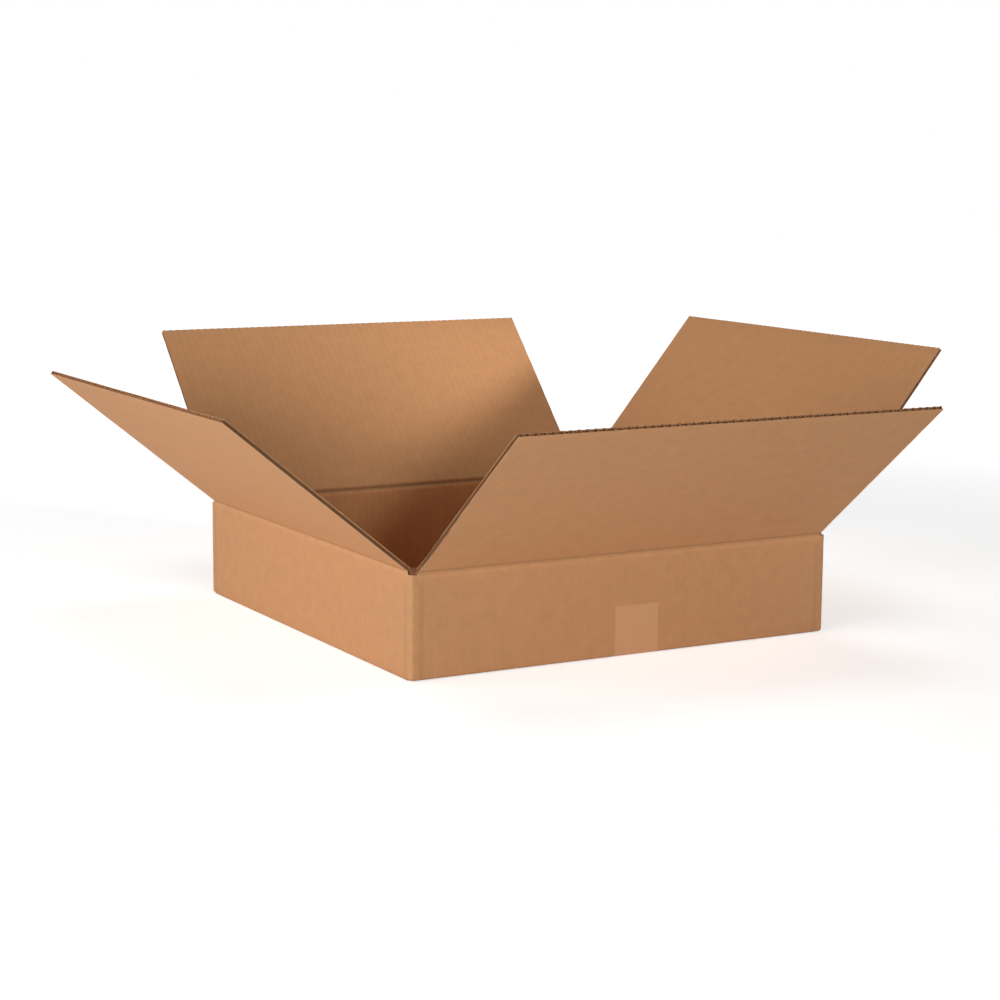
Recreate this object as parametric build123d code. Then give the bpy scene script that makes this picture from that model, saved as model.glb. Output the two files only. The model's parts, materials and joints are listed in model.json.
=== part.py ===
from build123d import *
import math
import os

# A shallow square shipping carton, folded from one slotted blank of corrugated board.
# Its bottom flaps are closed and taped, and its four top flaps stand open, leaning outwards.
# Millimetres, +Z up. X runs along the front wall and Y from the front wall to the back wall.
# The origin is the centre of the base's underside.
# The side walls, left and right, carry the outer flaps. The end walls, front and back, carry
# the inner flaps, which close first, and the tape climbs the end walls.

# Board
board = 4.0  # thickness over both liners
liner = 0.4  # thickness of each flat facing sheet
medium = 0.35  # thickness of the fluted sheet between them
flute_pitch = 8.3
flute_tip = 1.2  # flat at the top of each flute, where it is glued to a liner
score_land = 6.0  # board crushed shut beside each crease

# Box, over the outside
box_width = 465.0  # along X, over the side walls
box_length = 465.0  # along Y, over the end walls
crease_height = 103.0  # pivot line of the side flaps above the base
corner_radius = 3.5  # outside of the upright folds
bend_radius = 3.0  # outside of the folds round the base

# Flaps
slot_width = 9.0  # cut between neighbouring flaps, centred on each corner
seam_gap = 1.5  # between two flaps that meet when closed
lean = {"front": 51.0, "left": 51.0, "back": 43.0, "right": 40.0}  # degrees out from upright

# Creases
score_gap = 0.3  # clearance between a flap and its wall, over the whole swing
end_wall_lift = 1.0  # end walls stop this far above the floor
wall_round = 2.2  # outside edge of a side wall's top, so that its flap can hang below level

# Maker's joint, at the back right corner
joint_width = 35.0  # glued lap inside the back wall
joint_setback = 10.0  # its ends stop this far short of the flaps
joint_taper = 8.0  # its ends slope by this much
joint_slit = 1.5  # between the back wall's cut edge and the corner fold

# Tape
tape_width = 48.0
tape_thickness = 0.08
tape_climb = 50.0  # height of its ends on the end walls
tape_shift = 10.0  # its centre from the bottom seam, to the right

# Sizes that follow
half_width = box_width / 2
half_length = box_length / 2
slot_inset = board / 2 + slot_width / 2  # a flap's cut side in from the outside of the box
side_span = box_length - 2 * slot_inset  # side flaps, along their crease
end_span = box_width - 2 * slot_inset  # end flaps, along their crease
side_pivot_x = half_width - board / 2  # side flaps turn on the middle of the board
wall_top = crease_height - board / 2 - score_gap
side_reach = side_pivot_x - seam_gap / 2  # free length of a side flap
end_reach = min(side_reach, half_length - seam_gap / 2)  # cut to the same line, or to meet


def block(x_range, y_range, z_range):
    """A box between two values on each axis."""
    (x0, x1), (y0, y1), (z0, z1) = x_range, y_range, z_range
    centre = Location(((x0 + x1) / 2, (y0 + y1) / 2, (z0 + z1) / 2))
    return centre * Box(x1 - x0, y1 - y0, z1 - z0)


def edges_at(solid, *places):
    """Edges whose middle lies on every given (axis, value)."""
    found = solid.edges()
    for axis, value in places:
        found = found.filter_by_position(axis, value - 0.01, value + 0.01)
    return found


def profile(points):
    """A closed outline in the YZ plane, from (y, z) points."""
    return make_face(Plane.YZ * Polyline(*points, close=True))


def along_x(face, width, centre=0.0):
    """An outline in the YZ plane, drawn out along X about a centre."""
    return Location((centre, 0, 0)) * extrude(face, width / 2, both=True)


# Walls and base, one folded sheet


def wall_ring():
    """The four walls, with their upright folds and the rounded fold round the base."""
    heights = (end_wall_lift, wall_top)
    outside = block((-half_width, half_width), (-half_length, half_length), heights)
    outside = fillet(outside.edges().filter_by(Axis.Z), corner_radius)
    outside = fillet(outside.edges().group_by(Axis.Z)[0], bend_radius)
    clear = (-half_width + board, half_width - board)
    inside = block(clear, (-half_length + board, half_length - board), (0, crease_height))
    return outside - inside


def side_base(side):
    """An outer bottom flap and the fold that joins it to its side wall; side is -1 or 1."""
    span = (-side_span / 2, side_span / 2)
    across = sorted((side * half_width, side * seam_gap / 2))
    fold = sorted((side * half_width, side * (half_width - board)))
    flap = block(across, span, (0, board)) + block(fold, span, (0, 3 * board))
    return fillet(edges_at(flap, (Axis.X, side * half_width), (Axis.Z, 0)), bend_radius)


def end_base(end):
    """An inner bottom flap, which lies on the outer ones; end is -1 or 1."""
    free_edge = half_length - end_reach
    across = sorted((end * (half_length - board / 2), end * free_edge))
    return block((-end_span / 2, end_span / 2), across, (board, 2 * board))


def side_score(side):
    """What is rolled off a side wall's outer top edge, under its flap; side is -1 or 1."""
    low = wall_top - wall_round
    across = sorted((side * (half_width - wall_round), side * (half_width + 1)))
    long = box_length - 2 * board
    roll = Pos(side * (half_width - wall_round), 0, low) * Rot(90, 0, 0) * Cylinder(wall_round, long)
    return block(across, (-long / 2, long / 2), (low, wall_top + 1)) - roll


def end_score(end):
    """The notch crushed into an end wall's inner face, up to its outer liner."""
    outer, inner = end * (half_length - liner), end * (half_length - board - 1)
    points = [
        (outer, wall_top),
        (inner, wall_top - (board + 1 - liner)),
        (inner, wall_top + 1),
        (outer, wall_top + 1),
    ]
    return along_x(profile(points), box_width - 2 * board)


def joint_lap():
    """The maker's joint: the lap that the right wall carries, glued inside the back wall."""
    low = 2 * board + joint_setback / 2
    high = wall_top - board - joint_setback / 2
    right = half_width - board
    left = right - joint_width
    outline = Polyline(
        (right, low), (right, high), (left, high - joint_taper), (left, low + joint_taper), close=True
    )
    back = half_length - board
    return Location((0, back, 0)) * extrude(make_face(Plane.XZ * outline), board)


def joint_slit_cut():
    """The slit outside the lap, between the back wall's cut edge and the corner."""
    right = half_width - board
    return block((right - joint_slit, right), (half_length - board, half_length + 1), (0, crease_height))


def tape_bed():
    """What the tape presses out of the base, so that the underside stays flat."""
    across = (tape_shift - tape_width / 2, tape_shift + tape_width / 2)
    return block(across, (-side_span / 2, side_span / 2), (0, tape_thickness))


def box_body():
    sheet = wall_ring()
    for side in (-1, 1):
        sheet += side_base(side) + end_base(side)
        sheet -= side_score(side) + end_score(side)
    return sheet + joint_lap() - joint_slit_cut() - tape_bed()


# Tape, one strip along the bottom seam and up both end walls


def tape_edge(skin):
    """The strip's line in the YZ plane, from front to back, a skin away from the board."""
    fold_y, fold_z = half_length - bend_radius, end_wall_lift + bend_radius
    radius = bend_radius + skin
    base_z = tape_thickness - skin
    swing = math.radians(45)
    lines = []
    for end in (-1, 1):
        top = (end * (half_length + skin), tape_climb)
        bend = (end * (half_length + skin), fold_z)
        middle = (end * (fold_y + radius * math.sin(swing)), fold_z - radius * math.cos(swing))
        under = (end * fold_y, fold_z - radius)
        lines += [Line(top, bend), ThreePointArc(bend, middle, under)]
        lines += [Line(under, (end * side_span / 2, base_z))]
    lines += [Line((-side_span / 2, base_z), (side_span / 2, base_z))]
    return lines


def bottom_tape():
    lines = tape_edge(0) + tape_edge(tape_thickness)
    for end in (-1, 1):
        lines += [Line((end * half_length, tape_climb), (end * (half_length + tape_thickness), tape_climb))]
    outline = make_face(Plane.YZ * Curve(children=lines))
    return along_x(outline, tape_width, tape_shift)


# Top flaps, drawn upright over their pivot: X along the crease, -Y out of the box, +Z to the
# free edge


def flute_void():
    """The space between a liner and the fluted sheet, open towards +Y."""
    facing = board / 2 - liner
    tip = facing - medium
    run = flute_pitch / 4 - flute_tip / 2
    flank = math.atan2(tip, run) + math.asin(medium / 2 / math.hypot(run, tip))
    mouth = flute_tip / 2 + (facing + tip) / math.tan(flank)
    space = Polygon(
        (-flute_tip / 2, -tip), (flute_tip / 2, -tip), (mouth, facing), (-mouth, facing), align=None
    )
    corner = 0.9 * flute_tip / 2 / math.tan(flank / 2)
    return fillet(space.vertices().group_by(Axis.Y)[0], corner)


def fluted_panel(span, reach, middle):
    """Board from the score land to the free edge, its flutes open at the edge and cut sides."""
    void = flute_void()
    count = math.ceil(span / flute_pitch) + 1
    inner = [Pos((step - count / 2) * flute_pitch, 0) * void for step in range(count + 1)]
    outer = [Pos(flute_pitch / 2, 0) * space.rotate(Axis.Z, 180) for space in inner]
    section = Rectangle(span, board) - inner - outer
    return Pos(0, middle, score_land) * extrude(section, reach - score_land)


def side_flap(reach):
    """A side flap, which turns on the middle of its thickness on a round root."""
    half = board / 2
    root = Line((half, 0), (half, score_land)) + Line((half, score_land), (-half, score_land))
    root += Line((-half, score_land), (-half, 0)) + ThreePointArc((-half, 0), (0, -half), (half, 0))
    foot = along_x(make_face(Plane.YZ * root), side_span)
    return foot + fluted_panel(side_span, reach, 0)


def end_flap(reach):
    """An end flap, which turns on its outer face and is mitred to close against its wall."""
    start = liner + score_gap
    root = profile([(0, start), (board, start + board), (board, score_land), (0, score_land)])
    return along_x(root, end_span) + fluted_panel(end_span, reach, board / 2)


side_pivot = (side_pivot_x, crease_height)
end_pivot = (half_length, wall_top)
flaps = {
    "front": (end_flap(end_reach), 0, end_pivot),
    "left": (side_flap(side_reach), -90, side_pivot),
    "back": (end_flap(end_reach), 180, end_pivot),
    "right": (side_flap(side_reach), 90, side_pivot),
}

parts = {"box_body": box_body(), "bottom_tape": bottom_tape()}
for name, (flap, turn, (out, height)) in flaps.items():
    place = Rot(0, 0, turn) * Pos(0, -out, height) * Rot(lean[name], 0, 0)
    parts[name + "_flap"] = place * flap

os.makedirs("parts", exist_ok=True)
for name, solid in parts.items():
    export_step(solid, f"parts/{name}.step")
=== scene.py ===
import json
import math

import bmesh
import bpy
import numpy as np
from mathutils import Matrix, Vector


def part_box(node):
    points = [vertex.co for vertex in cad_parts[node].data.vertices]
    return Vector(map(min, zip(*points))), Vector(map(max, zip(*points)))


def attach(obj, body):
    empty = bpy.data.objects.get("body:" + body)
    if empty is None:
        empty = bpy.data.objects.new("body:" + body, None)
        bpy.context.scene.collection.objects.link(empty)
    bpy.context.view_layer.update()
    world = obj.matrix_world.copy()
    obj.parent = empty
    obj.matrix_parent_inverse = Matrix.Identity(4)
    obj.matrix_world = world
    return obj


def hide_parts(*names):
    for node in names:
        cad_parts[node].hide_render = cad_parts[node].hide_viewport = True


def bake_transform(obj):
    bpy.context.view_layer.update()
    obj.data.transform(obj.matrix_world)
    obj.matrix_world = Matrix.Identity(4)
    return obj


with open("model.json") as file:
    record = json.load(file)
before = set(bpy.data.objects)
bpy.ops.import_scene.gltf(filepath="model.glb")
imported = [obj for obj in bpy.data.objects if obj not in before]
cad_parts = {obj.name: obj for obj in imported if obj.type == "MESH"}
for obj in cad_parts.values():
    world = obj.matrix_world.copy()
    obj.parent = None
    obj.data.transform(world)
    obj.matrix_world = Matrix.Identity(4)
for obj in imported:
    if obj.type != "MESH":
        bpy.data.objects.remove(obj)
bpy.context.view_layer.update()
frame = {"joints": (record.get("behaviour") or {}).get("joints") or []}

# An open carton of corrugated kraft board. Metres, +Z up, X along the front wall.

# Sizes read from the frame
base_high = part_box("box_body")[1]
tape_low, tape_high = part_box("bottom_tape")
HALF_WIDTH, HALF_LENGTH, WALL_TOP = base_high.x, base_high.y, base_high.z
JOINTS = {joint["child"]: joint for joint in frame["joints"]}
SPAN = 2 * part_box("front_flap")[1].x
REACH = HALF_WIDTH - 0.002 - 0.00075

# Board
BOARD = 0.004
LINER = 0.00035
MEDIUM = 0.00034
FLUTE = 0.0083
SCORE_LAND = 0.006
EDGE_ROLL = 0.0017  # how far a knife-cut free edge is rolled over between the flute tips
PANEL_SHIFT = {  # keeps each panel's paper pattern its own, in whole flutes
    "front_flap": 0.0,
    "left_flap": 120 * FLUTE,
    "back_flap": 240 * FLUTE,
    "right_flap": 360 * FLUTE,
}

# Folds
SEAM_HEIGHT = WALL_TOP - 0.010  # the walls stop here, and the flap sheets carry on
FOLD_HALF = 0.0022  # board that bends, each side of a crease
CORNER_RADIUS = 0.0035
INNER_CORNER = 0.0008
BEND_RADIUS = 0.003
END_LIFT = 0.001
SEAM_GAP = 0.0015
SLOT_DEPTH = 0.0016  # the slots reach this far below the wall's top

# Maker's joint
LAP_WIDTH = 0.035
LAP_TAPER = 0.008
LAP_SETBACK = 0.005

# Looks
KRAFT_PINK = (0.648, 0.318, 0.166)
KRAFT_OCHRE = (0.572, 0.318, 0.136)


def smooth(t):
    t = np.clip(t, 0, 1)
    return t * t * (3 - 2 * t)


def hill(x, centre, width):
    return np.exp(-(((x - centre) / width) ** 2))


def ripple(u, v, seed):
    """A gentle unevenness, between about -1 and 1, that repeats nowhere in sight."""
    waves = ((31, 17, 0.5), (57, -43, 0.3), (-83, 71, 0.2))
    return sum(
        share * np.sin(a * u + b * v + seed * (k + 1.7)) for k, (a, b, share) in enumerate(waves)
    )


# Meshes


class Sheet:
    """Collects grids of points into one mesh, with U across the flutes and V along them."""

    def __init__(self, name):
        self.name = name
        self.verts, self.faces, self.uvs, self.slots, self.shades = [], [], [], [], []

    def grid(self, points, uv, slot=0, flip=False, shade=0.0):
        """points is rows x columns x 3, uv is rows x columns x 2; shade is painted shade and painted
        highlight: below zero it darkens the colour, above zero it lightens it.
        """
        rows, columns = points.shape[:2]
        first = len(self.verts)
        self.verts += points.reshape(-1, 3).tolist()
        flat = uv.reshape(-1, 2)
        tones = np.broadcast_to(shade, (rows, columns)).reshape(-1)
        for r in range(rows - 1):
            for c in range(columns - 1):
                a = r * columns + c
                corners = [a, a + 1, a + columns + 1, a + columns]
                if flip:
                    corners.reverse()
                self.faces.append([first + k for k in corners])
                self.uvs += [flat[k] for k in corners]
                self.shades += [tones[k] for k in corners]
                self.slots.append(slot)

    def build(self, materials, sharp=40, weld=2e-6):
        mesh = bpy.data.meshes.new(self.name)
        mesh.from_pydata(self.verts, [], self.faces)
        layer = mesh.uv_layers.new(name="sheet")
        layer.data.foreach_set("uv", np.array(self.uvs, np.float32).ravel())
        # The shade attribute carries painted shade and painted highlights into the materials.
        tones = mesh.attributes.new("shade", "FLOAT", "CORNER")
        tones.data.foreach_set("value", np.array(self.shades, np.float32))
        mesh.polygons.foreach_set("material_index", self.slots)
        for material in materials:
            mesh.materials.append(material)
        work = bmesh.new()
        work.from_mesh(mesh)
        bmesh.ops.remove_doubles(work, verts=work.verts, dist=weld)
        bmesh.ops.dissolve_degenerate(work, edges=work.edges, dist=1e-7)
        work.to_mesh(mesh)
        work.free()
        mesh.shade_smooth()
        mesh.set_sharp_from_angle(angle=math.radians(sharp))
        obj = bpy.data.objects.new(self.name, mesh)
        bpy.context.scene.collection.objects.link(obj)
        return obj


def closed_sheet(sheet, front, back, uv, slot, edge_slot, flip=False, shade=0.0):
    """Two matching grids, with their four edges closed between them."""
    sheet.grid(front, uv, slot, flip, shade)
    sheet.grid(back, uv, slot, not flip, shade)
    for take, turned in ((0, True), (-1, False)):
        rim = np.stack([front[take], back[take]])
        sheet.grid(rim, np.stack([uv[take], uv[take]]), edge_slot, turned != flip)
        rim = np.stack([front[:, take], back[:, take]])
        sheet.grid(rim, np.stack([uv[:, take], uv[:, take]]), edge_slot, turned == flip)


def turned(points, turn):
    """Points in a wall's own frame, -Y out of the box, turned to their side of the box."""
    c, s = math.cos(turn), math.sin(turn)
    x, y, z = np.moveaxis(points, -1, 0)
    return np.stack([c * x - s * y, s * x + c * y, z], axis=-1)


# Shader effects


def new_group(name, inputs, outputs):
    group = bpy.data.node_groups.new(name, "ShaderNodeTree")
    for label, kind, value in inputs:
        socket = group.interface.new_socket(label, in_out="INPUT", socket_type=kind)
        if value is not None:
            socket.default_value = value
    for label, kind in outputs:
        group.interface.new_socket(label, in_out="OUTPUT", socket_type=kind)
    return group, group.nodes.new("NodeGroupInput"), group.nodes.new("NodeGroupOutput")


def node(tree, kind, links=None, **settings):
    """A node with its settings, and its sockets set to values or linked to other sockets."""
    made = tree.nodes.new(kind)
    for key, value in settings.items():
        setattr(made, key, value)
    for key, value in (links or {}).items():
        if isinstance(value, bpy.types.NodeSocket):
            tree.links.new(value, made.inputs[key])
        else:
            made.inputs[key].default_value = value
    return made


def maths(tree, operation, a, b=0.0):
    return node(tree, "ShaderNodeMath", {0: a, 1: b}, operation=operation).outputs[0]


def scaled(tree, place, scale):
    return node(
        tree, "ShaderNodeVectorMath", {0: place, 1: scale}, operation="MULTIPLY"
    ).outputs[0]


def grain_noise(tree, place, scale, detail, rough=0.6):
    links = {"Vector": scaled(tree, place, scale), "Scale": 1.0, "Detail": detail, "Roughness": rough}
    return node(tree, "ShaderNodeTexNoise", links, noise_dimensions="3D").outputs[0]


def blended(tree, share, first, second):
    links = {0: share, 6: first, 7: second}
    return node(tree, "ShaderNodeMix", links, data_type="RGBA").outputs[2]


def kraft_group():
    """Kraft liner: fibres, cloudy mottling, faint machine streaks and the flutes showing through, scaled by
    the painted shade and painted highlights that come in as Shade.
    """
    group, given, result = new_group(
        "kraft_liner",
        [
            ("Place", "NodeSocketVector", None),
            ("Pink", "NodeSocketColor", (*KRAFT_PINK, 1)),
            ("Ochre", "NodeSocketColor", (*KRAFT_OCHRE, 1)),
            ("Mottle", "NodeSocketFloat", 0.22),
            ("Fibre", "NodeSocketFloat", 0.30),
            ("Streaks", "NodeSocketFloat", 0.05),
            ("Flutes", "NodeSocketFloat", 0.05),
            ("Shade", "NodeSocketFloat", 0.0),
        ],
        [("Color", "NodeSocketColor"), ("Roughness", "NodeSocketFloat"), ("Height", "NodeSocketFloat")],
    )
    place = given.outputs["Place"]
    cloud = grain_noise(group, place, (70, 70, 70), 4)
    patch = grain_noise(group, place, (190, 120, 150), 3, 0.5)
    fibre = grain_noise(group, place, (1500, 900, 1000), 5, 0.75)
    streak = grain_noise(group, place, (25, 700, 40), 4, 0.7)
    across = node(group, "ShaderNodeSeparateXYZ", {0: place}).outputs[0]
    wave = maths(group, "COSINE", maths(group, "MULTIPLY", across, 2 * math.pi / FLUTE))
    tone = blended(group, patch, given.outputs["Ochre"], given.outputs["Pink"])
    shade = 1.0
    for value, strength in ((cloud, "Mottle"), (fibre, "Fibre"), (streak, "Streaks")):
        centred = maths(group, "SUBTRACT", value, 0.5)
        shade = maths(group, "ADD", shade, maths(group, "MULTIPLY", centred, given.outputs[strength]))
    lines = maths(group, "MULTIPLY", maths(group, "MULTIPLY", wave, 0.5), given.outputs["Flutes"])
    shade = maths(group, "ADD", shade, lines)
    # Shade is painted shade and painted highlight from the mesh, multiplied into the colour.
    shade = maths(group, "MULTIPLY", shade, maths(group, "ADD", given.outputs["Shade"], 1.0))
    colour = node(group, "ShaderNodeVectorMath", {0: tone, "Scale": shade}, operation="SCALE")
    rough = maths(group, "ADD", maths(group, "MULTIPLY", cloud, 0.15), 0.74)
    height = maths(group, "ADD", maths(group, "MULTIPLY", fibre, 0.6), maths(group, "MULTIPLY", cloud, 0.6))
    group.links.new(colour.outputs[0], result.inputs["Color"])
    group.links.new(rough, result.inputs["Roughness"])
    group.links.new(height, result.inputs["Height"])
    return group


def new_material(name):
    material = bpy.data.materials.new(name)
    material.use_nodes = True
    tree = material.node_tree
    tree.nodes.clear()
    out = tree.nodes.new("ShaderNodeOutputMaterial")
    shader = tree.nodes.new("ShaderNodeBsdfPrincipled")
    tree.links.new(shader.outputs[0], out.inputs["Surface"])
    return material, tree, shader


def sheet_place(tree, offset):
    uv = node(tree, "ShaderNodeUVMap", uv_map="sheet").outputs[0]
    return node(tree, "ShaderNodeVectorMath", {0: uv, 1: offset}, operation="ADD").outputs[0]


def kraft_material(name, offset=(0, 0, 0), bump=0.00012, specular=0.25, **values):
    material, tree, shader = new_material(name)
    # The mesh's shade attribute: painted shade and painted highlights, multiplied into the colour.
    painted_light_and_shade = node(tree, "ShaderNodeAttribute", attribute_name="shade").outputs["Fac"]
    links = {"Place": sheet_place(tree, offset), "Shade": painted_light_and_shade}
    links.update({key.capitalize(): value for key, value in values.items()})
    paper = tree.nodes.new("ShaderNodeGroup")
    paper.node_tree = KRAFT_LINER
    for key, value in links.items():
        if isinstance(value, bpy.types.NodeSocket):
            tree.links.new(value, paper.inputs[key])
        else:
            paper.inputs[key].default_value = value
    relief = node(
        tree, "ShaderNodeBump", {"Strength": 0.6, "Distance": bump, "Height": paper.outputs["Height"]}
    )
    tree.links.new(paper.outputs["Color"], shader.inputs["Base Color"])
    tree.links.new(paper.outputs["Roughness"], shader.inputs["Roughness"])
    tree.links.new(relief.outputs[0], shader.inputs["Normal"])
    shader.inputs["Specular IOR Level"].default_value = specular
    return material


def tape_material():
    """Tan carton tape: the board shows through it, smoother, paler and a little shiny."""
    material, tree, shader = new_material("carton_tape")
    place = sheet_place(tree, (0, 0, 0))
    pull = grain_noise(tree, place, (400, 12, 30), 3)
    blotch = grain_noise(tree, place, (160, 160, 160), 3)
    mixed = blended(tree, blotch, (0.650, 0.350, 0.172, 1), (0.700, 0.368, 0.190, 1))
    rough = maths(tree, "ADD", maths(tree, "MULTIPLY", pull, 0.12), 0.36)
    relief = node(tree, "ShaderNodeBump", {"Strength": 0.5, "Distance": 0.00006, "Height": blotch})
    tree.links.new(mixed, shader.inputs["Base Color"])
    tree.links.new(rough, shader.inputs["Roughness"])
    tree.links.new(relief.outputs[0], shader.inputs["Normal"])
    shader.inputs["Specular IOR Level"].default_value = 0.35
    return material


KRAFT_LINER = kraft_group()
OUTSIDE = kraft_material("kraft_outside", (0, 0, 0), streaks=0.06, flutes=0.012)
INSIDE = kraft_material(
    "kraft_inside",
    (3.1, 1.7, 0),
    pink=(0.690, 0.325, 0.158, 1),
    ochre=(0.610, 0.322, 0.130, 1),
    streaks=0.06,
    flutes=0.035,
)
CUT_EDGE = kraft_material("cut_edge", (5, 2, 0), mottle=0.2, fibre=0.35, flutes=0)
FLUTING = kraft_material(
    "fluting_paper",
    (7, 4, 0),
    pink=(0.62, 0.31, 0.155, 1),
    ochre=(0.56, 0.29, 0.135, 1),
    mottle=0.15,
    fibre=0.2,
    flutes=0,
)
TAPE = tape_material()
FLAP_FACES = [OUTSIDE, INSIDE, CUT_EDGE, FLUTING]
WALL_FACES = [OUTSIDE, INSIDE, CUT_EDGE]


# Flaps: each sheet starts on its wall, bends at the crease and runs to its free edge


def crease_frame(body):
    """How a flap's crease lies: turn about Z, distance out, pivot height and lean from upright."""
    joint = JOINTS[body]
    axis, pivot = Vector(joint["axis"]), Vector(joint["pos_m"])
    turn = math.atan2(axis.y, axis.x)
    lean = math.radians(-joint["range_deg"][0] - 90)
    return turn, pivot.to_2d().length, pivot.z, lean


def fold_sheet(u, v, n, body):
    """Places sheet points: u along the crease, v up from the pivot, n in from the outer face."""
    turn, out, height, lean = crease_frame(body)
    outer_face = out - (HALF_LENGTH if body in ("front_flap", "back_flap") else HALF_WIDTH)
    angle = lean * smooth((v + FOLD_HALF) / (2 * FOLD_HALF))
    y, z = outer_face + n, v
    c, s = np.cos(angle), np.sin(angle)
    points = np.stack([u, y * c - z * s - out, y * s + z * c + height], axis=-1)
    return turned(points, turn)


def outer_relief(u, v):
    """The outer liner's swell below a crease, its valley and the small swell above it."""
    ends = smooth((SPAN / 2 - np.abs(u)) / 0.008)
    swell = -0.00040 * hill(v, -0.0034, 0.0020) - 0.00022 * hill(v, 0.0040, 0.0018)
    valley = 0.00055 * hill(v, 0.0006, 0.0010)
    return (swell + valley) * ends


def outer_shade(u, v):
    """Painted shade along the crease's valley, a painted highlight on the swell below it, and painted
    highlights along the cut sides and the free edge.
    """
    line = -0.20 * hill(v, 0.0014, 0.0012) - 0.14 * hill(v, 0.0022, 0.0024)
    line = line + 0.09 * hill(v, -0.0032, 0.0022)
    # Painted highlights along the cut sides and along the free edge.
    sides = 0.10 * hill(SPAN / 2 - np.abs(u), 0, 0.0016) * smooth((v - 0.002) / 0.004)
    return line + sides + 0.06 * hill(REACH - v, 0, 0.0016)


def inner_shade(v):
    # Painted shade in the score groove, and a painted highlight on the lip below it.
    return -0.45 * hill(v, 0.0002, 0.0014) + 0.12 * hill(v, -0.0034, 0.0013)


def inner_relief(v):
    """The groove that the scoring wheel crushes into the inner liner, with a raised lip."""
    groove = -0.0021 * hill(v, 0.0, 0.0013)
    lip = 0.00022 * hill(v, -0.0036, 0.0012) + 0.00018 * hill(v, 0.0038, 0.0014)
    return groove + lip


def cut_side(u, v, body, liner_seed):
    """Slot-cut sides: slightly ragged, and torn low down on the front flap's left side."""
    side = np.sign(u)
    rag = 0.00022 * (np.sin(910 * v + liner_seed) + 0.6 * np.sin(2130 * v + 2 * liner_seed))
    if body == "front_flap":
        torn = (side < 0) * smooth((v - 0.006) / 0.02) * (1 - smooth((v - 0.085) / 0.05))
        bite = np.sin(430 * v + 2 * liner_seed) + 0.7 * np.sin(1170 * v + 5 * liner_seed)
        rag = rag + torn * 0.0006 * (bite - 0.9)
    near_side = hill(SPAN / 2 - np.abs(u), 0, 0.0009)
    fades = smooth((v - 0.001) / 0.004)
    return u + side * (rag - 0.00035) * near_side * fades


def flute_wave(u):
    """The medium's height between the liners, from -1 at the outer one to 1 at the inner one."""
    return np.clip(1.45 * np.cos(2 * math.pi * u / FLUTE) + 0.45, -1, 1)


def edge_roll(u, v, body):
    """How far the knife rolled the inner liner over: most between the flute tips."""
    hollow = (1 - flute_wave(u)) / 2
    roll = EDGE_ROLL if body == "front_flap" else EDGE_ROLL / 2
    return roll * (0.2 + 0.8 * hollow) * smooth((v - REACH + 0.0015) / 0.0015)


def side_webs(sheet, body, levels, warps):
    """The medium between the liners at the cut sides, crushed beside the crease, and darkened with painted
    shade to stand for the shade inside the open flutes.
    """
    for side, warp in zip((-1, 1), warps.T):
        v, share = np.meshgrid(levels, [0.0, 1.0], indexing="ij")
        u = side * (SPAN / 2 - 0.0007 - 0.0012 * smooth((v - 0.006) / 0.01))
        rolled = edge_roll(u, v, body)
        low = outer_relief(u, v) + warp[:, None] + LINER / 2
        high = BOARD + inner_relief(v) + warp[:, None] - LINER / 2 - rolled
        web = fold_sheet(u, v, low + (high - low) * share, body)
        # shade -0.7 is painted shade: the dark of the open flutes.
        sheet.grid(web, np.stack([v, share * BOARD], axis=-1), 2, flip=side > 0, shade=-0.7)


def flap_sheet(body, seed):
    sheet = Sheet(body.replace("flap", "flap_sheet"))
    wall_end = SEAM_HEIGHT - crease_frame(body)[2]
    columns = np.linspace(-SPAN / 2, SPAN / 2, int(SPAN / FLUTE * 6) + 1)
    below = np.linspace(wall_end, -0.0045, 5)
    crease = np.linspace(-0.0045, 0.0045, 28)[1:]
    above = np.linspace(0.0045, 0.012, 5)[1:]
    panel = np.linspace(0.012, REACH - 0.0015, 17)[1:]
    edge = np.array([REACH - 0.0009, REACH - 0.0004, REACH])
    u, v = np.meshgrid(columns, np.concatenate([below, crease, above, panel, edge]))
    uv = np.stack([u + PANEL_SHIFT[body], v], axis=-1)
    wash = np.cos(2 * math.pi * u / FLUTE) * smooth((np.abs(v) - 0.004) / 0.004) * (v > 0)
    warp = 0.00012 * ripple(u, v, seed) * smooth((v - 0.01) / 0.04)
    rolled = edge_roll(u, v, body)

    outer = outer_relief(u, v) + warp + 0.000020 * (1 + wash)
    outer_u = cut_side(u, v, body, seed)
    closed_sheet(
        sheet,
        fold_sheet(outer_u, v, outer, body),
        fold_sheet(outer_u, v, outer + LINER, body),
        uv,
        0,
        2,
        shade=outer_shade(u, v),
    )
    inner = BOARD + inner_relief(v) + warp - 0.000025 * (1 + wash) - rolled
    inner_u = cut_side(u, v, body, seed + 2.3)
    closed_sheet(
        sheet,
        fold_sheet(inner_u, v, inner, body),
        fold_sheet(inner_u, v, inner - LINER, body),
        uv,
        1,
        2,
        flip=True,
        shade=inner_shade(v),
    )
    add_fluting(sheet, body, seed)
    side_webs(sheet, body, v[:, 0], warp[:, [0, -1]])
    obj = sheet.build(FLAP_FACES)
    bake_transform(obj)
    obj.parent = None
    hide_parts(body)
    return obj


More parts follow.
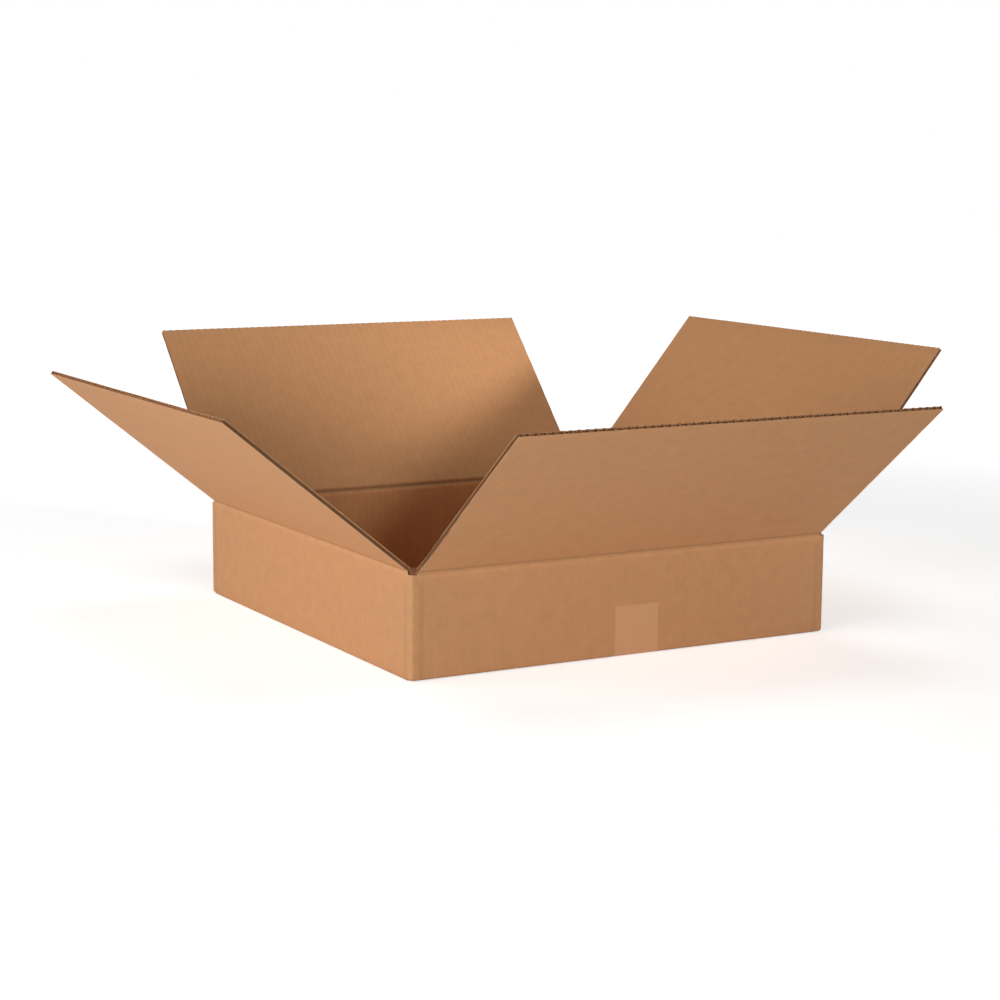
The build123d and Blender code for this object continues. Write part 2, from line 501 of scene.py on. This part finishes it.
def add_fluting(sheet, body, seed):
    """The wavy medium between the liners, open at the free edge and the cut sides, darkened with painted
    shade except at the free edge.
    """
    count = int(SPAN / FLUTE * 12)
    columns = np.linspace(-SPAN / 2 + 0.0004, SPAN / 2 - 0.0004, count)
    along = [*np.linspace(SCORE_LAND, REACH - 0.0015, 6), REACH - 0.0009, REACH - 0.00045, REACH - 0.0002]
    u, v = np.meshgrid(columns, along)
    high = BOARD / 2 - LINER - MEDIUM / 2 - 0.00002
    wave = flute_wave(u)
    warp = 0.00012 * ripple(u, v, seed) * smooth((v - 0.01) / 0.04)
    pressed = edge_roll(u, v, body) * (1 + wave) / 2
    middle = BOARD / 2 + high * wave + warp - pressed
    # Painted shade darkens the medium where it lies between the liners; near the free edge, away from the
    # sides, it stays lighter as if lit.
    sides = smooth((SPAN / 2 - np.abs(u)) / (1.5 * FLUTE))
    rim = hill(REACH - v, 0, 0.003)
    shade = -0.6 + 0.6 * rim * sides
    uv = np.stack([u + PANEL_SHIFT[body], v], axis=-1)
    front = fold_sheet(u, v, middle - MEDIUM / 2, body)
    back = fold_sheet(u, v, middle + MEDIUM / 2, body)
    closed_sheet(sheet, front, back, uv, 3, 3, shade=shade)


# Walls and base


def wall_line(half, radius, step=FLUTE / 4):
    """Points (x, y) of one wall from corner to corner, each corner's arc to its middle."""
    arc = np.linspace(math.pi / 4, 0, 5)
    left = [(-half + radius - radius * math.sin(a), radius - radius * math.cos(a)) for a in arc]
    straight = np.linspace(-half + radius, half - radius, int(2 * half / step))
    line = left + [(x, 0.0) for x in straight[1:-1]] + [(-x, y) for x, y in reversed(left)]
    return np.array(line)


def sheet_uv(points, body):
    """Where each wall point lies on the flat sheet, in step with the flap above it."""
    across = points[..., 0] + PANEL_SHIFT[body]
    return np.stack([across, points[..., 2] - crease_frame(body)[2]], axis=-1)


def untaped(x, height, body):
    """1 where a wall is free to bow, and 0 where the tape holds it flat."""
    if body not in ("front_flap", "back_flap"):
        return 1.0
    side = 1 if body == "front_flap" else -1
    centre = side * (tape_low.x + tape_high.x) / 2
    beside = np.abs(x - centre) - (tape_high.x - tape_low.x) / 2 - 0.003
    above = height - tape_high.z - 0.003
    return np.maximum(smooth(beside / 0.03), smooth(above / 0.02))


def wall_skins(sheet, body, half, out, lift):
    """A wall's outer and inner faces, from the fold round the base to the seam below the crease."""
    turn = crease_frame(body)[0]
    outer_line = wall_line(half, CORNER_RADIUS)
    x, y = outer_line[:, 0], outer_line[:, 1]
    from_corner = half - np.abs(x)
    foot = lift + (END_LIFT - lift) * (1 - smooth((from_corner - 0.0045) / 0.003))
    curl = hill(from_corner, 0.0075, 0.0030) * 0.00022
    heights = np.linspace(BEND_RADIUS, SEAM_HEIGHT, 12)
    points = []
    for angle in np.linspace(math.pi / 2, 0, 5):
        inset = BEND_RADIUS * (1 - math.cos(angle))
        rise = BEND_RADIUS * (1 - math.sin(angle))
        shrink = 1 - inset / half
        points.append(np.stack([x * shrink, y - out + inset, foot + rise], axis=-1))
    for height in heights[1:]:
        fade = smooth((SEAM_HEIGHT - height) / 0.02) * smooth((height - BEND_RADIUS) / 0.02)
        bow = 0.00025 * ripple(x, height, turn) * smooth((from_corner - 0.01) / 0.05)
        bow = bow * untaped(x, height, body)
        push = (bow - curl) * fade
        points.append(np.stack([x, y - out + push, np.full_like(x, height)], axis=-1))
    points = np.array(points)
    # Painted shade: a faint dark line beside each vertical corner, and a painted shadow line along the
    # wall's foot.
    painted_corner_shade = -0.10 * hill(from_corner, 0.0105, 0.0022)
    painted_foot_shadow = -0.22 * hill(points[..., 2], 0.0, 0.0022)
    sheet.grid(turned(points, turn), sheet_uv(points, body), 0, shade=painted_foot_shadow + painted_corner_shade)

    inner_line = wall_line(half - BOARD, INNER_CORNER)
    x, y = inner_line[:, 0], inner_line[:, 1]
    levels = np.linspace(END_LIFT, SEAM_HEIGHT, 12)
    wash = 0.00004 * np.cos(2 * math.pi * x / FLUTE) * smooth((half - BOARD - np.abs(x)) / 0.01)
    points = []
    for height in levels:
        fade = smooth((SEAM_HEIGHT - height) / 0.002)
        points.append(np.stack([x, y - out + BOARD - wash * fade, np.full_like(x, height)], axis=-1))
    points = np.array(points)
    sheet.grid(turned(points, turn), sheet_uv(points, body), 1, flip=True)


def corner_posts(sheet, body, half, out):
    """The board that stands between two creases, up to the bottom of the slot between the flaps."""
    turn = crease_frame(body)[0]
    for side in (-1, 1):
        outer = wall_line(half, CORNER_RADIUS)
        inner = wall_line(half - BOARD, INNER_CORNER)
        faces = []
        for line, inset in ((outer, 0), (inner, BOARD)):
            keep = line[side * line[:, 0] > SPAN / 2]
            edge = np.array([[side * SPAN / 2, 0.0]])
            keep = np.concatenate([keep, edge] if side < 0 else [edge, keep])
            rows = [
                np.stack([keep[:, 0], keep[:, 1] - out + inset, np.full(len(keep), z)], axis=-1)
                for z in (SEAM_HEIGHT, (SEAM_HEIGHT + WALL_TOP) / 2, WALL_TOP - SLOT_DEPTH)
            ]
            faces.append(np.array(rows))
        for face, slot in zip(faces, (0, 1)):
            sheet.grid(turned(face, turn), sheet_uv(face, body), slot, flip=slot == 1)
        top_outer, top_inner = faces[0][-1], faces[1][-1]
        count = min(len(top_outer), len(top_inner))
        pick = [np.linspace(0, len(t) - 1, count).round().astype(int) for t in (top_outer, top_inner)]
        cap = np.array([top_outer[pick[0]], top_inner[pick[1]]])
        # The cap's cut edge is darkened with painted shade: the shade at the bottom of the slot.
        sheet.grid(turned(cap, turn), cap[..., :2], 2, shade=-0.65)


def slab(sheet, x_range, y_range, z_range, across, slots=(0, 1, 2)):
    """A flat panel of board; across is the axis that its flutes lie side by side on."""
    lows, highs = [np.array(t) for t in zip(x_range, y_range, z_range)]
    step = [FLUTE / 4 if axis == across else 0.03 for axis in (0, 1)]
    xs = np.linspace(lows[0], highs[0], max(2, int((highs[0] - lows[0]) / step[0])))
    ys = np.linspace(lows[1], highs[1], max(2, int((highs[1] - lows[1]) / step[1])))
    x, y = np.meshgrid(xs, ys)
    place = (x, y) if across == 0 else (y, x)
    uv = np.stack([place[0] + 500 * FLUTE, place[1]], axis=-1)
    edge = np.minimum.reduce([x - lows[0], highs[0] - x, y - lows[1], highs[1] - y])
    wash = 0.00004 * (1 - np.cos(2 * math.pi * place[0] / FLUTE)) * smooth(edge / 0.004)
    dip = 0.00045 * (1 - smooth(edge / 0.0016)) ** 2
    top = np.stack([x, y, highs[2] - wash - dip], axis=-1)
    bottom = np.stack([x, y, lows[2] + 0.5 * wash + dip], axis=-1)
    closed_sheet(sheet, bottom, top, uv, slots[0], slots[2], flip=True)
    return xs, ys


def base_panels(sheet):
    fold_x = HALF_WIDTH - BEND_RADIUS
    wall_y = HALF_LENGTH - BOARD
    for side in (-1, 1):
        across = sorted((side * fold_x, side * SEAM_GAP / 2))
        slab(sheet, across, (-SPAN / 2, SPAN / 2), (0, BOARD), 1, (0, 0, 2))
    for end in (-1, 1):
        along = sorted((end * wall_y, end * (HALF_LENGTH - REACH)))
        slab(sheet, (-SPAN / 2, SPAN / 2), along, (BOARD, 2 * BOARD), 0, (1, 1, 2))


def maker_joint(sheet):
    """The glued lap inside the back wall, with tapered ends."""
    low, high = 2 * BOARD + LAP_SETBACK, WALL_TOP - BOARD - LAP_SETBACK
    right = HALF_WIDTH - BOARD
    back = HALF_LENGTH - BOARD
    t = np.linspace(0, 1, 18)
    levels = np.linspace(0, 1, 10)
    x = right - LAP_WIDTH * t[None, :] * np.ones((10, 1))
    taper = LAP_TAPER * t[None, :]
    z = (low + taper) + (high - low - 2 * taper) * levels[:, None]
    rim = np.minimum.reduce([LAP_WIDTH * (1 - t[None, :]) + 0 * z, z - low - taper, high - taper - z])
    soft = 0.0006 * (1 - smooth(rim / 0.0015)) ** 2
    face = np.stack([x, back - BOARD + 0.0004 + soft, z], axis=-1)
    rear = np.stack([x, np.full_like(x, back), z], axis=-1)
    uv = np.stack([x, z], axis=-1)
    closed_sheet(sheet, face, rear, uv, 1, 2)


def carton_body():
    sheet = Sheet("walls_and_base")
    for body in ("front_flap", "left_flap", "back_flap", "right_flap"):
        is_end = body in ("front_flap", "back_flap")
        half, out = (HALF_WIDTH, HALF_LENGTH) if is_end else (HALF_LENGTH, HALF_WIDTH)
        wall_skins(sheet, body, half, out, END_LIFT if is_end else 0.0)
        corner_posts(sheet, body, half, out)
    base_panels(sheet)
    maker_joint(sheet)
    obj = sheet.build(WALL_FACES)
    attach(obj, "box")
    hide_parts("box_body")
    return obj


# Tape


def tape_strip():
    """One strip: down the front wall, under the bottom seam and up the back wall."""
    thick = abs(tape_low.y) - HALF_LENGTH
    half = (tape_high.x - tape_low.x) / 2
    centre = (tape_high.x + tape_low.x) / 2
    fold_y, fold_z = HALF_LENGTH - BEND_RADIUS, END_LIFT + BEND_RADIUS

    def path(skin):
        radius = BEND_RADIUS + skin
        bend = [
            (fold_y + radius * math.cos(a), fold_z - radius * math.sin(a))
            for a in np.linspace(0, math.pi / 2, 7)
        ]
        climb = [(HALF_LENGTH + skin, z) for z in np.linspace(tape_high.z, fold_z, 12)[:-1]]
        under = [(y, thick - skin) for y in np.linspace(SPAN / 2, 0, 16)]
        back = climb + bend + under
        return np.array(back + [(-y, z) for y, z in reversed(back[:-1])])

    across = np.linspace(-half, half, 91)
    outer, inner = path(thick), path(0.0)
    length = np.concatenate([[0], np.cumsum(np.hypot(*np.diff(outer, axis=0).T))])
    u, v = np.meshgrid(across, length)
    tooth = 0.0005 * (1 - np.abs((across / 0.0016) % 1 - 0.5) * 2)

    def place(line):
        y = np.repeat(line[:, :1], len(across), axis=1)
        z = np.repeat(line[:, 1:], len(across), axis=1)
        for row in (0, -1):
            z[row] -= tooth
        return np.stack([u + centre, y, z], axis=-1)

    sheet = Sheet("sealing_tape")
    closed_sheet(sheet, place(outer), place(inner), np.stack([u, v], axis=-1), 0, 0, flip=True)
    obj = sheet.build([TAPE], sharp=50)
    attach(obj, "box")
    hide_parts("bottom_tape")
    return obj


carton_body()
for seed, body in enumerate(("front_flap", "left_flap", "back_flap", "right_flap")):
    flap_sheet(body, 1.3 * seed + 0.4)
tape_strip()

# Camera

CAMERA_PLACE = Vector((-1.1591, -2.0196, 0.4906))
YAW, PITCH, ROLL = math.radians(29.666), math.radians(9.093), math.radians(0.474)
FOCAL_LENGTH = 82.13

camera = bpy.data.objects.new("camera", bpy.data.cameras.new("camera"))
bpy.context.scene.collection.objects.link(camera)
camera.data.lens = FOCAL_LENGTH
camera.data.sensor_width = 36
turn_view = Matrix.Rotation(-YAW, 4, "Z") @ Matrix.Rotation(math.pi / 2 - PITCH, 4, "X")
camera.matrix_world = Matrix.Translation(CAMERA_PLACE) @ turn_view @ Matrix.Rotation(ROLL, 4, "Z")
bpy.context.scene.camera = camera

# Studio: a light table with softboxes round it

FLOOR_WHITE = 0.68  # what the eye sees on top of the light that falls near the box
FLOOR_SPREAD = (0.8, 2.0)  # from there to here, as the light falls off, that grows to full white


def aim(obj, place, target):
    obj.location = place
    obj.rotation_euler = (Vector(target) - Vector(place)).to_track_quat("-Z", "Y").to_euler()
    bpy.context.scene.collection.objects.link(obj)


def area_light(name, place, target, size, power, height=None):
    lamp = bpy.data.lights.new(name, "AREA")
    lamp.shape, lamp.size, lamp.size_y, lamp.energy = "RECTANGLE", size, height or size, power
    obj = bpy.data.objects.new(name, lamp)
    aim(obj, place, target)
    return obj


def softbox(name, azimuth, power, distance=3.4, height=1.07):
    """A tall lamp that stands on the floor; azimuth is degrees round from the front to the left."""
    a = math.radians(azimuth)
    place = (-distance * math.sin(a), -distance * math.cos(a), height / 2 + 0.01)
    return area_light(name, place, (0, 0, height / 2), 1.6, power, height)


def spot_light(name, place, target, power, cone, radius):
    lamp = bpy.data.lights.new(name, "SPOT")
    lamp.energy, lamp.spot_size, lamp.spot_blend = power, math.radians(cone), 1.0
    lamp.shadow_soft_size = radius
    obj = bpy.data.objects.new(name, lamp)
    aim(obj, place, target)
    return obj


def seen_rays(tree):
    """1 on rays that show the studio: straight to the eye, off a gloss or through glass."""
    path = tree.nodes.new("ShaderNodeLightPath")
    gloss = maths(tree, "MAXIMUM", path.outputs["Is Camera Ray"], path.outputs["Is Glossy Ray"])
    return maths(tree, "MAXIMUM", gloss, path.outputs["Is Transmission Ray"])


def floor_plane(size=14.0):
    """A white floor that keeps the box's soft shadow."""
    sheet = Sheet("studio_floor")
    line = np.linspace(-size / 2, size / 2, 3)
    x, y = np.meshgrid(line, line)
    sheet.grid(np.stack([x, y, np.full_like(x, -0.0002)], axis=-1), np.stack([x, y], axis=-1))
    material, tree, shader = new_material("white_floor")
    shader.inputs["Base Color"].default_value = (0.92, 0.92, 0.92, 1)
    shader.inputs["Roughness"].default_value = 0.9
    shader.inputs["Specular IOR Level"].default_value = 0.0
    shader.inputs["Emission Color"].default_value = (1, 1, 1, 1)
    place = tree.nodes.new("ShaderNodeNewGeometry").outputs["Position"]
    away = node(tree, "ShaderNodeVectorMath", {0: place}, operation="LENGTH").outputs["Value"]
    near, far = FLOOR_SPREAD
    rise = {"Value": away, "From Min": near, "From Max": far, "To Min": FLOOR_WHITE, "To Max": 1.0}
    white = node(tree, "ShaderNodeMapRange", rise, interpolation_type="SMOOTHSTEP").outputs["Result"]
    tree.links.new(maths(tree, "MULTIPLY", seen_rays(tree), white), shader.inputs["Emission Strength"])
    sheet.build([material])


def studio_world(ambient):
    world = bpy.data.worlds.new("studio")
    bpy.context.scene.world = world
    world.use_nodes = True
    tree = world.node_tree
    background = tree.nodes["Background"]
    strength = maths(tree, "ADD", maths(tree, "MULTIPLY", seen_rays(tree), 1 - ambient), ambient)
    tree.links.new(strength, background.inputs["Strength"])
    background.inputs["Color"].default_value = (1, 1, 1, 1)


floor_plane()
studio_world(0.04)
softbox("key_left", 58, 53)
softbox("fill_front", -6, 15)
area_light("side_left", (-3.0, 1.25, 1.26), (0, 0, 0.12), 1.6, 25)
area_light("overhead", (0, 0, 3.5), (0, 0, 0), 1.6, 18)
light_table = area_light("light_table", (0, 0, -0.0001), (0, 0, 1), 4.0, 8.5)
light_table.visible_camera = False
spot_light("back_accent", (2.2, -2.3, 1.08), (0.2, 0.3, 0.2), 400, 11, 0.25)
spot_light("right_accent", (-2.0, -2.3, 1.08), (0.3, 0.3, 0.2), 50, 11, 0.25)

bpy.context.scene.view_settings.view_transform = "Standard"
